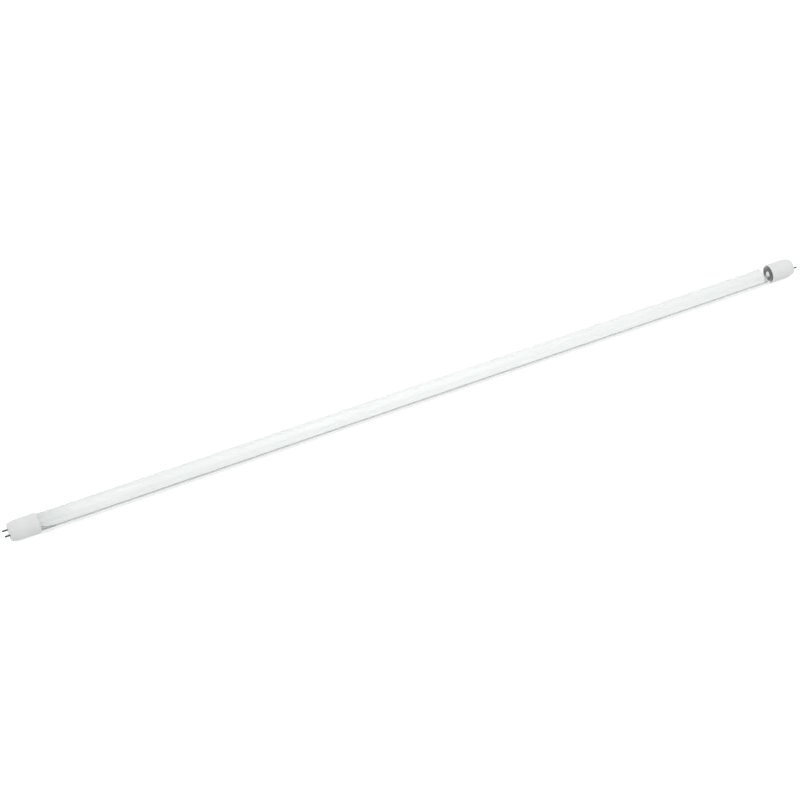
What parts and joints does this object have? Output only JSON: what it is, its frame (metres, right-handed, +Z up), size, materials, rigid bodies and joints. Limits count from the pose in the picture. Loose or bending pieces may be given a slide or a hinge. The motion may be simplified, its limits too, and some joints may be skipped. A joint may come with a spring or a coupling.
{
  "type": "led tube",
  "caption": "Straight LED tube lamp with a frosted glass tube, white moulded end caps and paired contact pins, for bi-pin lampholders.",
  "frame": {"origin": "middle of the lamp, on the axis of the tube", "axes": "+X along the tube towards the driver end, +Z up through the lit side, +Y from the front pin to the rear pin of each cap"},
  "size_m": [1.2136, 0.028, 0.028],
  "materials": {
    "clear_glass": "clear drawn glass",
    "frosted_film": "frosted",
    "white_cap_plastic": "satin moulded",
    "nickel_plated_brass": "plated",
    "white_silicone": "matte",
    "aluminium_board": "white mask on bare metal",
    "bare_aluminium": "extruded",
    "led_moulding": "matte",
    "led_phosphor": "matte",
    "dark_plastic": "moulded",
    "green_board": "solder mask",
    "capacitor_sleeve": "shrunk sleeve",
    "ferrite": "matte",
    "enamelled_copper": "enamelled",
    "chip_moulding": "matte",
    "resistor_coat": "lacquered",
    "wire_cover": "matte"
  },
  "bodies": {
    "root": {"glass_tube": "clear_glass", "diffuser_film": "frosted_film", "left_cap": "white_cap_plastic", "right_cap": "white_cap_plastic", "left_cap_bond": "white_silicone", "right_cap_bond": "white_silicone", "left_pin_front": "nickel_plated_brass", "left_pin_rear": "nickel_plated_brass", "right_pin_front": "nickel_plated_brass", "right_pin_rear": "nickel_plated_brass", "heat_sink_tray": "bare_aluminium", "led_strip": "aluminium_board", "strip_adhesive": "white_silicone", "led_packages": "led_moulding", "led_phosphors": "led_phosphor", "left_blanking_disc": "dark_plastic", "left_link_wire": "wire_cover", "driver_carrier": "dark_plastic", "lead_grommet": "white_silicone", "driver_board": "green_board", "bulk_capacitor": "capacitor_sleeve", "choke_core": "ferrite", "choke_winding": "enamelled_copper", "bridge_rectifier": "chip_moulding", "driver_chip": "chip_moulding", "fuse_resistor": "resistor_coat", "strip_lead_front": "wire_cover", "strip_lead_rear": "wire_cover", "pin_lead_front": "wire_cover", "pin_lead_rear": "wire_cover"}
  },
  "joints": []
}
